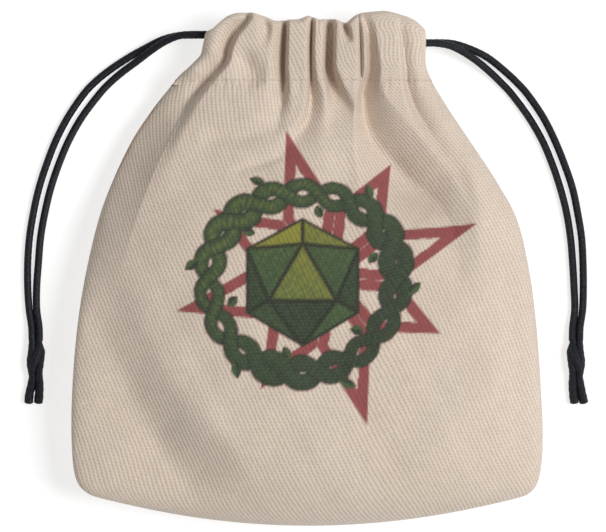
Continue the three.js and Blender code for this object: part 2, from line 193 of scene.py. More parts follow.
# Free ends of the drawstrings, from the slit to the knot, the same routes as the frame's.
FREE_ENDS = {
    "left": {
        "outer": [
            (-30.8, 65.15, 6.9), (-31.8, 65.15, 6.85), (-36.0, 65.1, 5.6), (-40.5, 64.1, 4.0),
            (-45.0, 62.0, 2.7), (-50.2, 59.2, 1.6), (-55.4, 55.8, 1.2), (-59.7, 52.3, 1.1),
            (-63.0, 48.7, 1.1),
            (-67.2, 42.5, 1.1), (-70.6, 35.9, 1.1), (-73.2, 29.2, 1.1), (-75.3, 22.6, 1.1),
            (-76.8, 15.9, 1.1), (-77.9, 9.0, 1.1), (-78.4, 2.0, 1.1), (-78.4, -5.0, 1.1),
            (-78.0, -11.0, 1.2), (-77.25, -16.0, 1.7), (-77.05, -19.7, 2.3),
        ],
        "inner": [
            (-30.8, 65.15, 9.5), (-31.8, 65.15, 9.45), (-35.8, 64.9, 8.2), (-40.0, 63.3, 6.4),
            (-44.0, 60.8, 4.8), (-48.0, 57.9, 3.3), (-51.8, 55.2, 2.1), (-55.4, 52.2, 1.3),
            (-58.4, 49.0, 1.1),
            (-63.3, 42.5, 1.1), (-67.0, 35.9, 1.1), (-69.8, 29.2, 1.1), (-72.0, 22.6, 1.1),
            (-73.6, 15.9, 1.1), (-74.8, 9.0, 1.1), (-75.4, 2.0, 1.1), (-75.9, -5.0, 1.1),
            (-75.9, -11.0, 1.2), (-75.2, -16.0, 1.7), (-75.05, -19.7, 2.3),
        ],
    },
    "right": {
        "outer": [
            (30.8, 62.85, 6.9), (31.8, 62.85, 6.85), (36.0, 63.1, 5.7), (40.6, 62.9, 4.2),
            (45.4, 61.5, 2.7), (50.2, 59.2, 1.6), (54.6, 55.8, 1.2), (58.4, 52.3, 1.1), (61.6, 48.7, 1.1),
            (65.8, 42.5, 1.1), (69.1, 35.9, 1.1), (71.8, 29.2, 1.1), (74.0, 22.6, 1.1),
            (75.4, 15.9, 1.1), (76.5, 9.0, 1.1), (76.9, 2.0, 1.1), (77.0, -5.0, 1.1),
            (76.8, -11.0, 1.2), (76.05, -16.0, 1.7), (75.85, -19.7, 2.3),
        ],
        "inner": [
            (30.8, 62.85, 9.5), (31.8, 62.85, 9.45), (35.8, 62.8, 8.3), (39.6, 62.2, 6.6),
            (43.4, 60.5, 4.9), (47.2, 58.1, 3.3), (50.8, 55.2, 2.1), (54.0, 52.2, 1.3), (57.0, 49.0, 1.1),
            (61.8, 42.5, 1.1), (65.6, 35.9, 1.1), (68.4, 29.2, 1.1), (70.6, 22.6, 1.1),
            (72.3, 15.9, 1.1), (73.4, 9.0, 1.1), (74.0, 2.0, 1.1), (74.4, -5.0, 1.1),
            (74.6, -11.0, 1.2), (74.0, -16.0, 1.7), (73.85, -19.7, 2.3),
        ],
    },
}
# Middle of each knot as x, y, and how high it lies.
KNOT_MIDDLE = {"left": (-76.1, -25.0), "right": (74.9, -25.0)}
KNOT_Z = 2.5
# The two short ends past each knot.
TAILS = {
    "left": [
        [(-76.9, -29.6, 2.0), (-77.3, -32.2, 1.5), (-77.9, -34.8, 1.25), (-78.1, -37.0, 1.2)],
        [(-75.2, -29.6, 2.0), (-75.1, -32.2, 1.5), (-75.2, -34.8, 1.25), (-75.4, -37.0, 1.2)],
    ],
    "right": [
        [(75.7, -29.6, 2.0), (76.1, -32.2, 1.5), (76.6, -34.8, 1.25), (77.1, -37.0, 1.2)],
        [(74.0, -29.6, 2.0), (74.0, -32.2, 1.5), (74.2, -34.8, 1.25), (74.5, -37.0, 1.2)],
    ],
}
# Distance from the middle at which a held loop turns back, near the far slit.
HELD_TURN_X = 22.5
# How far the braid's windings stand out, as a share of the cord's radius.
BRAID = 0.10

# Distance from the middle at which the held loop ends and the strands start.
BEND_FROM_X = 30.4

# Estimated flat size of half a panel below the casing, in metres.
# Grids of half a bag: columns, rows of the body, and rows of the casing's outside, roll and lining.
FRONT_GRID = (250, 300, (64, 12, 30))
BACK_GRID = (160, 180, (40, 10, 24))
SIDES = {"left": -1, "right": 1}


# ---------------------------------------------------------------- curves and fields

def smooth(t):
    """0 below 0, 1 above 1, and the usual cubic step between."""
    t = np.clip(t, 0, 1)
    return t * t * (3 - 2 * t)


def mix(a, b, t):
    """a where t is 0, b where it is 1, and in a straight line between."""
    return a + (b - a) * t


def spline(points, t):
    """Catmull-Rom curve through the points at t from 0 to 1: between two points, the four nearest ones
    are weighted by the usual cubic, so the curve passes through every point with a smooth bend."""
    p = np.asarray(points, float)
    p = np.vstack([2 * p[0] - p[1], p, 2 * p[-1] - p[-2]])
    spans = len(points) - 1
    f = np.clip(np.asarray(t, float), 0, 1) * spans
    i = np.minimum(f.astype(int), spans - 1)
    u = (f - i)[..., None]
    a, b, c, d = p[i], p[i + 1], p[i + 2], p[i + 3]
    return 0.5 * (2 * b + (c - a) * u + (2 * a - 5 * b + 4 * c - d) * u**2 + (3 * b - a - 3 * c + d) * u**3)


def run_along(points):
    """Length of a line of points up to each of them: the sum of the steps before it."""
    return np.concatenate([[0], np.cumsum(np.linalg.norm(np.diff(points, axis=0), axis=1))])


def even_spline(points, t):
    """The same curve with t as the share of its length."""
    fine = spline(points, np.linspace(0, 1, 40 * len(points)))
    run = run_along(fine[:, :3])
    return np.stack([np.interp(np.asarray(t) * run[-1], run, fine[:, k]) for k in range(fine.shape[1])], -1)


def along_y(points, y):
    """The first number of a list of (value, y) points as a smooth function of y."""
    fine = spline(points, np.linspace(0, 1, 200))
    return np.interp(y, fine[:, 1], fine[:, 0])


FOLD_PROFILES = {
    # q is the distance from the line over the width on that side
    "sharp": lambda q: np.clip(1 - q, 0, None) ** 2 * (1 - 0.15 * np.exp(-((q / 0.06) ** 2))),
    "slope": lambda q: np.clip(1 - q, 0, None) ** 1.3 * (1 - 0.10 * np.exp(-((q / 0.08) ** 2))),
    "round": lambda q: 1 / (1 + np.exp(np.clip((q - 0.8) * 6, -40, 40))),
    "soft": lambda q: np.exp(-1.4 * q * q),
    # a drop that begins at the line, is deepest a width away and then dies out; none on the east side
    "crest": lambda q: np.where(q < 1, 1 - (1 - q) ** 2, np.exp(-(((q - 1) / 1.1) ** 2))),
}


def nearest_on_line(x, y, line):
    """Distance to a line of points that runs down the cloth, +1 east of it and -1 west of it, and the
    line's other numbers at its nearest point."""
    best = np.full(x.shape, 1e9)
    side = np.ones(x.shape)
    facts = np.zeros(x.shape + (line.shape[1] - 2,))
    for a, b in zip(line[:-1], line[1:]):
        step = b[:2] - a[:2]
        t = np.clip(((x - a[0]) * step[0] + (y - a[1]) * step[1]) / max(step @ step, 1e-9), 0, 1)
        dx, dy = x - a[0] - t * step[0], y - a[1] - t * step[1]
        distance = np.hypot(dx, dy)
        closer = distance < best
        best = np.where(closer, distance, best)
        side = np.where(closer, np.where(step[0] * dy - step[1] * dx > 0, 1.0, -1.0), side)
        facts = np.where(closer[..., None], mix(a[2:], b[2:], t[..., None]), facts)
    return best, side, facts


def fold_field(x, y, folds):
    """How much the folds raise the cloth at x, y: for each fold the nearest point of its line gives the
    depth and the width on that side, and the profile falls from the line outwards. Folds add up."""
    total = np.zeros_like(x)
    for profile, points in folds:
        line = even_spline(points, np.linspace(0, 1, 6 * len(points)))
        reach = 2.6 * line[:, 3:].max()
        near = (x > line[:, 0].min() - reach) & (x < line[:, 0].max() + reach)
        near &= (y > line[:, 1].min() - reach) & (y < line[:, 1].max() + reach)
        distance, side, facts = nearest_on_line(x[near], y[near], line)
        width = np.where(side > 0, facts[..., 2], facts[..., 1])
        distance = np.where((side > 0) & (profile == "crest"), 0, distance)
        total[near] -= facts[..., 0] * FOLD_PROFILES[profile](distance / width)
    return total


def unevenness(x, y):
    """A slight wander of the cloth's level: a sum of long sine waves in fixed directions."""
    waves = [(0.21, 0.13, 0.4, 0.20), (-0.11, 0.24, 1.9, 0.20), (0.36, -0.22, 3.1, 0.11),
             (0.05, 0.47, 5.2, 0.08), (-0.52, -0.31, 0.7, 0.06), (0.83, 0.44, 2.6, 0.03)]
    return sum(height * np.sin(kx * x + ky * y + phase) for kx, ky, phase, height in waves)


# ---------------------------------------------------------------- the bag's surface

def across_and_height(a, power):
    """A superellipse across the bag: the share across is the sine of a quarter turn times a, so that the
    columns close up towards the seam, and the height is what the superellipse has there."""
    across = np.sin(a * math.pi / 2)
    return across, np.clip(1 - np.abs(across) ** power, 0, 1) ** (1 / power)


def half_width(a, left, right):
    """The left or the right half's width, by the sign of a."""
    return np.where(a < 0, left, right)


def crown_at(y):
    """Height of the front's middle line: low at the neck, full from a little below it."""
    return mix(NECK_CROWN, CROWN, smooth((STITCH_Y - y) / 66))


def seam_at(y):
    """Height of the side seam above the table."""
    low = mix(BOTTOM_SEAM_Z, SEAM_Z, smooth((y - BOTTOM_Y) / 34))
    return mix(low, NECK_SEAM_Z, smooth((y - 5) / 46))


def rolled_edge(y, reach):
    """Rise of the cloth from the bottom seam, a rounded quarter from 0 at the seam to 1 at reach above."""
    return (1 - (1 - np.clip((y - BOTTOM_Y) / reach, 0, 1)) ** 2.4) ** (1 / 2.1)


def body_rows(a, v):
    """x, y and the row's facts for the body. Rows follow the bottom edge's arc near the bottom and run
    straight across at the stitching. v is 0 at the bottom edge and 1 at the stitching."""
    f = v**1.2
    left = even_spline(LEFT_SIDE, f)
    right = even_spline(RIGHT_SIDE, f)
    sag = BOTTOM_SAG * (1 - v) ** 2.2
    middle = (left[:, 1] + right[:, 1]) / 2 - sag
    power = mix(2.5, 3.4, smooth((middle - 15) / 36))[:, None]
    fullness = BODY_FULLNESS * np.tanh(4 * a[None, :]) * smooth((20 - middle[:, None]) / 30)
    across, height = across_and_height(a[None, :], power + fullness)
    x = across * half_width(a[None, :], left[:, :1], right[:, :1])
    y = mix(left[:, 1:], right[:, 1:], (across + 1) / 2) - sag[:, None] * (1 - across**2)
    middle = middle[:, None]
    return x, y, middle, rolled_edge(middle, 34), height


def casing_y(a, v, roll_depth):
    """y of the casing's outside, v from 0 at the stitching to 1 where the mouth starts to roll over."""
    x_there = across_and_height(a, 3.8)[0] * half_width(a, 30.0, 32.0)
    xs, ys = np.array(MOUTH_LINE).T
    spread = np.linspace(-1.2, 1.2, 7)
    top = np.mean([np.interp(x_there + s, xs, ys) for s in spread], axis=0) - roll_depth
    return mix(STITCH_Y, top[None, :], v[:, None])


def casing_rows(a, y):
    """x and the height share for the casing at given y."""
    power = mix(3.4, 4.0, smooth((y - STITCH_Y) / 12))
    across, height = across_and_height(np.broadcast_to(a, y.shape), power)
    x = across * half_width(a, along_y(LEFT_NECK, y), along_y(RIGHT_NECK, y))
    return x, height


def stitched_step(y, rise, dent, dent_width):
    """The casing lies over the panel by rise, and the stitches draw it in by dent along their line: a
    smooth step and a bell."""
    return rise * smooth((y - STITCH_Y + 0.2) / 0.9) - dent * np.exp(-(((y - NEEDLE_Y) / dent_width) ** 2))


def front_detail(x, y, height, fade):
    """Folds, unevenness, the stitched step and the puckers between the stitches, all as height."""
    pucker = 0.09 * np.sin(TAU * x / 2.3 + 1.3 * np.sin(0.9 * x)) * np.exp(-(((y - STITCH_Y) / 2.4) ** 2))
    step = stitched_step(y, 0.16, 0.14, 0.6)
    return (fold_field(x, y, FRONT_FOLDS) + unevenness(x, y) + step + pucker) * height**0.45 * fade


def slack_share(x, y):
    """How slack the cloth is, from 0 over the filling to 1 in a corner: it grows across each line by a
    smooth step of the signed distance from the line."""
    total = np.zeros_like(x)
    for side, points in SLACK_CORNERS.items():
        line = even_spline(points, np.linspace(0, 1, 8 * len(points)))
        distance, signed, facts = nearest_on_line(x, y, line)
        outward = signed * (-1 if side == "left" else 1)
        total = np.maximum(total, facts[..., 0] * smooth(0.5 + 0.5 * outward * distance / facts[..., 1]))
    return total


def front_body(a, v, folded=True):
    """The front panel: from the seam up to the crown by the superellipse of its row and the rounded edge of
    the bottom, sunk to the slack height in the corners, with the folds on top."""
    x, y, middle, edge, height = body_rows(a, v)
    seam = seam_at(middle)
    z = seam + (crown_at(middle) - seam) * edge * height
    slack = SLACK_HEIGHT * rolled_edge(middle, 10) * across_and_height(a[None, :], 9)[1]
    z = mix(z, seam + slack, slack_share(x, y))
    if folded:
        z = z + front_detail(x, y, height, edge**1.5)
    return np.stack([x, y, z], -1)


def rolled_casing(outside_at, lining_at, a, rows, roll_rows, lining_rows):
    """One casing half as one sheet: the outside up to the mouth, rolled over it in a half ellipse, and the
    lining back down to the stitching inside. The lining stops short of the slit, where its distance from
    the middle closes in on a limit, so that the cords leave between the outside and the lining."""
    outside = outside_at(a, casing_y(a, np.linspace(0, 1, rows + 1), MOUTH_ROLL))
    end = outside[-1]
    lining_y = mix(end[:, 1], STITCH_Y + 0.6, np.linspace(0, 1, lining_rows + 1)[:, None])
    over = outside_at(a, lining_y)
    free, limit = LINING_REACH
    distance = np.abs(over[..., 0])
    room = limit - free
    held = np.where(distance > free, free + room * (1 - np.exp((free - distance) / room)), distance)
    lining = np.stack([np.sign(over[..., 0]) * held, lining_y, lining_at(over)], -1)
    turn = np.linspace(0, math.pi, roll_rows + 1)[1:-1, None]
    roll = mix(end[None], lining[:1], (1 - np.cos(turn))[..., None] / 2)
    roll[..., 1] = end[:, 1] + MOUTH_ROLL * np.sin(turn)
    return np.concatenate([outside, roll, lining])


def front_casing(a, *rows):
    """The front casing, with its lining just above the middle near the slits."""
    def lining(over):
        return mix(8.3 + 0.12 * (over[..., 2] - 14), 8.64, smooth((np.abs(over[..., 0]) - 12) / 9))
    return rolled_casing(front_outside, lining, a, *rows)


def front_outside(a, y):
    """The front casing's outside: the superellipse between the slit's upper edge and the neck's crown, with
    the folds, and kept above the cords by a soft maximum."""
    x, height = casing_rows(a, y)
    slit = slit_at(y)
    base = NECK_SEAM_Z + slit
    crown = NECK_CROWN - 0.6 * smooth((y - STITCH_Y) / 20)
    z = base + (crown - base) * height + front_detail(x, y, height, 1.0)
    cords_top, softness = 12.3, 2.5
    cover = mix(base, cords_top, smooth(height / 0.5))
    return np.stack([x, y, cover + np.logaddexp(0, softness * (z - cover)) / softness], -1)


def slit_at(y):
    """Half the width of the gap between the two casings at the side: narrow above the bar tack and wide
    enough for two cords near the mouth."""
    return 0.6 * smooth((y - STITCH_Y - 0.4) / 3) + 2.0 * smooth((y - 58.3) / 3.4)


def back_folds():
    """Folds of the back: valleys that start in the neck and fan out into the body."""
    folds = []
    starts_and_depths = [
        (-24.5, 1.9), (-17.2, 2.5), (-10.5, 2.8), (-4.6, 2.3),
        (2.2, 2.8), (9.0, 2.6), (15.4, 2.2), (22.6, 1.9),
    ]
    for k, (start, depth) in enumerate(starts_and_depths):
        spread = 1.5 + 0.1 * math.sin(2.1 * k)
        length = 46 + 9 * math.sin(1.7 * k + 0.6)
        line = []
        for share in (0, 0.2, 0.4, 0.6, 0.8, 1.0):
            down = share * length
            x = start * (1 + (spread - 1) * max(0, down - 16) / 30)
            width = 1.9 + 2 * share
            line.append((x, 72 - down, depth * (1 - smooth((share - 0.35) / 0.65)), width, width))
        folds.append(("sharp", line))
    return folds


BACK_FOLDS = back_folds()


def back_detail(x, y, height, fade):
    """Folds, the stitched step and a slighter unevenness, turned over, because the back faces down."""
    wander = 0.35 * unevenness(x + 40, y)
    step = stitched_step(y, -0.3, -0.35, 0.55)
    return (-fold_field(x, y, BACK_FOLDS) + step + wander) * height**0.45 * fade


def back_height(a):
    """How far the back has come down from the seam, from 0 to 1: the back's own superellipse."""
    return across_and_height(a[None, :], 2.9)[1]


def back_body(a, v):
    """The back panel: from the seam down to the table, a little off it at the neck, with the folds."""
    x, y, middle, edge, _ = body_rows(a, v)
    flat = 0.15 + 0.5 * smooth((y - 15) / 36)
    drop = np.clip(1.10 * back_height(a) * edge, 0, 1)
    folds_fade = edge**1.5 * smooth((y + 10) / 30)
    z = mix(seam_at(middle), flat, drop) + back_detail(x, y, back_height(a), folds_fade)
    return np.stack([x, y, np.maximum(z, TABLE_GAP)], -1)


def back_outside(a, y):
    """The back casing's outside: from the slit's lower edge down to the table, with the folds."""
    x, height = casing_rows(a, y)
    z = mix(NECK_SEAM_Z - 1.2 * slit_at(y), 0.65, np.clip(1.10 * back_height(a), 0, 1))
    return np.stack([x, y, np.maximum(z + back_detail(x, y, height, 1.0), TABLE_GAP)], -1)


def back_casing(a, *rows):
    """The back casing, with its lining above its outside and just below the middle near the slits."""
    def lining(over):
        return mix(5.2 + 0.2 * over[..., 2], 8.36, smooth((np.abs(over[..., 0]) - 10) / 9))
    return rolled_casing(back_outside, lining, a, *rows)


# ---------------------------------------------------------------- the print

def polygon_distance(x, y, corners):
    """Distance to a closed polygon, negative inside: the least distance to its edges, with the sign from
    how often a line to the right crosses them."""
    best = np.full(x.shape, 1e9)
    inside = np.zeros(x.shape, bool)
    for (ax, ay), (bx, by) in zip(corners, corners[1:] + corners[:1]):
        ex, ey = bx - ax, by - ay
        t = np.clip(((x - ax) * ex + (y - ay) * ey) / (ex * ex + ey * ey), 0, 1)
        best = np.minimum(best, np.hypot(x - ax - t * ex, y - ay - t * ey))
        if ey != 0:
            crosses = ((ay > y) != (by > y)) & (x < ex * (y - ay) / ey + ax)
            inside ^= crosses
    return np.where(inside, -best, best)


def ring_point(radius, angle):
    """Point of a ring round the origin at an angle."""
    return (radius * math.cos(angle), radius * math.sin(angle))


def lay_ink(canvas, colour, cover):
    """Puts one ink over what is there: colour and cover are mixed by the new ink's cover."""
    cover = np.clip(cover, 0, 1)[..., None]
    canvas[..., :3] = mix(canvas[..., :3], np.broadcast_to(colour, canvas[..., :3].shape), cover)
    canvas[..., 3:] = np.maximum(canvas[..., 3:], cover)


def soft_edge(distance, width=0.28):
    """Cover of the ink at a distance from its edge: 1 inside, 0 outside, a smooth step over the width."""
    return smooth(0.5 - distance / (2 * width))


def mottling(x, y):
    """Painterly light and dark within a colour, from -1 to 1, as a product and sum of sines."""
    a = np.sin(1.9 * x + 1.3 * np.sin(0.8 * y)) * np.sin(1.6 * y + 1.1 * np.sin(1.1 * x))
    b = np.sin(4.7 * x - 2.2 * y) * np.sin(3.9 * y + 2.9 * x)
    return 0.65 * a + 0.35 * b


def draw_star(canvas, x, y, s):
    """An eight-pointed compass star in outline: four long and four short points, each a kite whose inside
    is left bare, drawn with a band that is widest at the tip."""
    x = x - s.star_shift[0] / MM
    y = y - s.star_shift[1] / MM
    radius = s.star_radius / MM
    band = s.star_band / MM * (1 + 0.07 * mottling(0.7 * x, 0.7 * y))
    shade = np.array(s.red_ink) * (1 + 0.10 * mottling(x, y))[..., None]
    for order in (1, 0):
        for k in range(order, 8, 2):
            angle = TAU * k / 8 + s.star_turn
            tip = ring_point(radius * (0.84 if order else 1.0), angle)
            waist = [ring_point(radius * 0.46, angle + side * TAU / 16) for side in (-1, 1)]
            kite = [tip, waist[1], (0.0, 0.0), waist[0]]
            distance = polygon_distance(x, y, kite)
            ring = np.abs(distance + band / 2) - band / 2
            lay_ink(canvas, shade, soft_edge(ring, 0.22))


def draw_wreath(canvas, x, y, s):
    """Two vines that wind round each other along a ring: each swings in and out of the ring by a sine,
    and the one that is in front changes at every crossing. Light runs along each vine's upper side."""
    dark, middle, light_green = np.array(s.dark_green), np.array(s.mid_green), np.array(s.yellow_green)
    ring = s.wreath_radius / MM
    angle = np.arctan2(y, x)
    radius = np.hypot(x, y)
    winds = 9
    swing = 2.5
    thick = 2.15 + 0.35 * np.sin(3 * angle + 0.7)
    for front in (0, 1):
        for k in (0, 1):
            phase = winds * angle + k * math.pi
            in_front = np.cos(phase) > 0
            centre = ring + swing * np.sin(phase) + 0.5 * np.sin(2 * angle + 1)
            offset = radius - centre
            tilt = np.sqrt(1 + (winds * swing * np.cos(phase) / ring) ** 2)
            distance = np.abs(offset) / tilt - thick
            chosen = in_front if front else ~in_front
            rise = np.clip(1 - (offset / tilt / thick) ** 2, 0, 1)
            light = 0.5 + 0.5 * np.sin(angle - 0.9 + 0.6 * offset / thick)
            rib = 0.10 * np.sin(winds * 14 * angle + 3.0 * offset)
            tone = np.clip(0.15 + 0.55 * rise * light + 0.18 * mottling(x, y) + rib, 0, 1)[..., None]
            colour = mix(dark, middle, tone)
            colour = mix(colour, light_green, np.clip(tone - 0.55, 0, 1))
            lay_ink(canvas, colour, soft_edge(distance) * chosen)
            outline = np.exp(-((distance / 0.35) ** 2))
            lay_ink(canvas, dark * 0.55, 0.55 * outline * chosen * (distance < 0.2))
    leaves = 12
    for k in range(leaves):
        at = TAU * k / leaves + 0.35
        lean = 0.9 if k % 2 else -0.8
        reach = 1 if k % 2 else -1
        base = ring_point(ring + reach * 3.6, at)
        tip = ring_point(ring + reach * 6.9, at + lean * 0.13)
        dx, dy = tip[0] - base[0], tip[1] - base[1]
        t = ((x - base[0]) * dx + (y - base[1]) * dy) / (dx * dx + dy * dy)
        off = ((x - base[0]) * dy - (y - base[1]) * dx) / math.hypot(dx, dy)
        leaf_width = 1.35 * np.sin(np.pi * np.clip(t, 0, 1)) ** 0.8
        inside = np.where((t > 0) & (t < 1), np.abs(off) - leaf_width, 9.0)
        tone = np.clip(0.45 + 0.35 * np.sign(off) + 0.2 * mottling(x, y), 0, 1)[..., None]
        lay_ink(canvas, mix(dark, middle, tone), soft_edge(inside, 0.22))


def draw_die(canvas, x, y, s):
    """A twenty-sided die seen along one face: a hexagon outline with the near triangle in it, and the
    ring of facets between, each with its own tone, darker ridges and a light that falls from above."""
    dark, middle, light_green = np.array(s.dark_green), np.array(s.mid_green), np.array(s.yellow_green)
    radius = s.die_radius / MM
    turn = math.radians(90)
    outer = [ring_point(radius, turn + TAU * k / 6) for k in range(6)]
    inner = [ring_point(radius * 0.60, turn + TAU * k / 3) for k in range(3)]
    hexagon = polygon_distance(x, y, outer)
    facets = [(inner, 0.80)]
    tones = [0.92, 0.70, 0.34, 0.20, 0.16, 0.52]
    for k in range(3):
        a, b = inner[k], inner[(k + 1) % 3]
        far = outer[(2 * k + 1) % 6]
        facets.append(([a, far, b], [0.50, 0.14, 0.42][k]))
        facets.append(([outer[2 * k], far, a], tones[2 * k]))
        facets.append(([outer[2 * k], outer[(2 * k - 1) % 6], a], tones[2 * k + 1]))
    lay_ink(canvas, dark, soft_edge(hexagon - 0.3))
    gradient = np.clip(0.5 + (y + 0.4 * x) / (2.4 * radius), 0, 1)
    mottle = 0.16 * mottling(1.3 * x, 1.3 * y)
    for corners, tone in facets:
        distance = polygon_distance(x, y, corners)
        value = np.clip(tone * (0.62 + 0.55 * gradient) + mottle, 0, 1)[..., None]
        colour = mix(dark * 0.9, middle, np.clip(1.7 * value, 0, 1))
        colour = mix(colour, light_green, np.clip(2.2 * value - 1.1, 0, 1))
        lay_ink(canvas, colour, soft_edge(distance + 0.25, 0.2))
        ridge = np.exp(-(((distance + 0.30) / 0.30) ** 2)) * (distance < 0.1)
        lay_ink(canvas, dark * 0.45, 0.75 * ridge)


def print_ink(u, v, s):
    """The whole print at cloth coordinates u, v, as linear colour and cover."""
    x = u - s.print_x / MM
    y = v - s.print_y / MM
    canvas = np.zeros(u.shape + (4,))
    canvas[..., :3] = np.array(s.red_ink)
    near = np.hypot(x, y) < s.star_radius / MM + 12
    part = canvas[near]
    for draw in (draw_star, draw_wreath, draw_die):
        draw(part, x[near], y[near], s)
    canvas[near] = part
    return canvas


# ---------------------------------------------------------------- meshes

def grid_faces(rows, cols, closed_across=False, flip=False):
    """Quads of a grid of rows by cols points, counter-clockwise when rows go up and columns to the right,
    or the other way round when flipped."""
    index = np.arange(rows * cols).reshape(rows, cols)
    if closed_across:
        index = np.hstack([index, index[:, :1]])
    quads = np.stack([index[:-1, :-1], index[:-1, 1:], index[1:, 1:], index[1:, :-1]], -1).reshape(-1, 4)
    return quads[:, ::-1 if flip else 1].tolist()


def make_object(name, points, faces, uv=None):
    """A mesh object at the origin from points in millimetres, faces, and cloth coordinates in millimetres."""
    mesh = bpy.data.meshes.new(name)
    mesh.from_pydata(np.asarray(points, float).reshape(-1, 3) * MM, [], faces)
    mesh.update()
    if uv is not None:
        layer = mesh.uv_layers.new(name="cloth")
        loops = np.zeros(len(mesh.loops), np.int32)
        mesh.loops.foreach_get("vertex_index", loops)
        layer.data.foreach_set("uv", (uv.reshape(-1, 2)[loops] * MM).astype(np.float32).ravel())
    mesh.polygons.foreach_set("use_smooth", np.ones(len(mesh.polygons), bool))
    obj = bpy.data.objects.new(name, mesh)
    bpy.context.scene.collection.objects.link(obj)
    return obj


def blurred(values, axis, steps):
    """Running mean along one axis, three times over, which comes close to a bell-shaped one."""
    values = np.moveaxis(values, axis, 0)
    for _ in range(3):
        padded = np.concatenate([np.repeat(values[:1], steps, 0), values, np.repeat(values[-1:], steps, 0)])
        total = np.cumsum(np.concatenate([np.zeros_like(padded[:1]), padded]), axis=0)
        values = (total[2 * steps + 1:] - total[:-2 * steps - 1]) / (2 * steps + 1)
    return np.moveaxis(values, 0, axis)


def cloth_coordinates(surface, zero_row):
    """Where each point lay in the flat cloth: the length along its row from the middle, and along its
    column from the row zero_row. Both are sums of the steps between neighbours, evened out between
    neighbouring rows and columns, because the yarns don't jump."""
    steps_u = np.linalg.norm(np.diff(surface, axis=1), axis=2)
    steps_v = np.linalg.norm(np.diff(surface, axis=0), axis=2)
    u = np.concatenate([np.zeros((len(surface), 1)), np.cumsum(steps_u, axis=1)], axis=1)
    v = np.concatenate([np.zeros((1, surface.shape[1])), np.cumsum(steps_v, axis=0)], axis=0)
    v = v - v[zero_row][None, :]
    return np.stack([blurred(u, 0, len(surface) // 20), blurred(v, 1, surface.shape[1] // 20)], -1)


def cloth_piece(name, surface, side, zero_row, flip=False):
    """A grid of the right half (side 1) or left half (side -1), whose columns start at the middle."""
    uv = cloth_coordinates(surface, zero_row)
    uv[..., 0] *= side
    faces = grid_faces(*surface.shape[:2], flip=(side < 0) != flip)
    return make_object(name, surface, faces, uv)


def tube_mesh(path, radius, sides, step, braid=0.0, ends=(1.0, 1.0)):
    """Points, faces and UV of a round cord along a path. At each step a ring stands square to the path;
    the ring's frame is carried along without twisting. A braid raises and lowers the surface where two
    families of windings cross. The cord narrows or swells towards its ends, and both are closed by rings
    that shrink along a quarter circle."""
    length = run_along(spline(path, np.linspace(0, 1, 400)))[-1]
    count = max(8, int(length / step))
    centre = even_spline(path, np.linspace(0, 1, count + 1))
    tangent = np.gradient(centre, axis=0)
    tangent /= np.linalg.norm(tangent, axis=1)[:, None]
    normals = np.zeros_like(tangent)
    guess = np.array([0.0, 0.0, 1.0]) if abs(tangent[0, 2]) < 0.9 else np.array([1.0, 0.0, 0.0])
    for i, t in enumerate(tangent):
        guess = guess - t * (guess @ t)
        guess = guess / np.linalg.norm(guess)
        normals[i] = guess
    sideways = np.cross(tangent, normals)
    run = run_along(centre)
    around = np.arange(sides) * TAU / sides
    taper = 3 * radius
    size = radius * mix(ends[0], 1, smooth(run / taper)) * mix(ends[1], 1, smooth((run[-1] - run) / taper))
    wind = TAU * run[:, None] / (3.4 * radius)
    one = np.cos(2 * around[None, :] + wind)
    two = np.cos(2 * around[None, :] - wind)
    relief = 1 + braid * (np.maximum(np.abs(one), np.abs(two)) - 0.5)
    outward = np.cos(around)[None, :, None] * normals[:, None, :]
    outward = outward + np.sin(around)[None, :, None] * sideways[:, None, :]
    rings = centre[:, None, :] + (size[:, None] * relief)[..., None] * outward
    first = []
    last = []
    cap_rings = 4
    for c in np.linspace(0, math.pi / 2, cap_rings + 1)[1:]:
        past_end = 0.55 * radius * math.sin(c)
        shrink = max(math.cos(c), 0.02)
        first.append(centre[0] + (rings[0] - centre[0]) * shrink - tangent[0] * past_end)
        last.append(centre[-1] + (rings[-1] - centre[-1]) * shrink + tangent[-1] * past_end)
    points = np.concatenate([np.array(first[::-1]), rings, np.array(last)])
    rows = len(points)
    runs = np.concatenate([np.full(cap_rings, run[0]), run, np.full(cap_rings, run[-1])])
    uv = np.stack(np.broadcast_arrays((around * radius)[None, :], runs[:, None]), -1)
    faces = grid_faces(rows, sides, closed_across=True, flip=True)
    faces.append(list(range(sides)))
    faces.append(list(reversed(range((rows - 1) * sides, rows * sides))))
    return points.reshape(-1, 3), faces, uv.reshape(-1, 2)


def join_parts(parts):
    """Several (points, faces, uv) as one."""
    base = 0
    faces = []
    for points, part_faces, _ in parts:
        faces.extend([i + base for i in face] for face in part_faces)
        base += len(points)
    return np.concatenate([part[0] for part in parts]), faces, np.concatenate([part[2] for part in parts])


# ---------------------------------------------------------------- materials

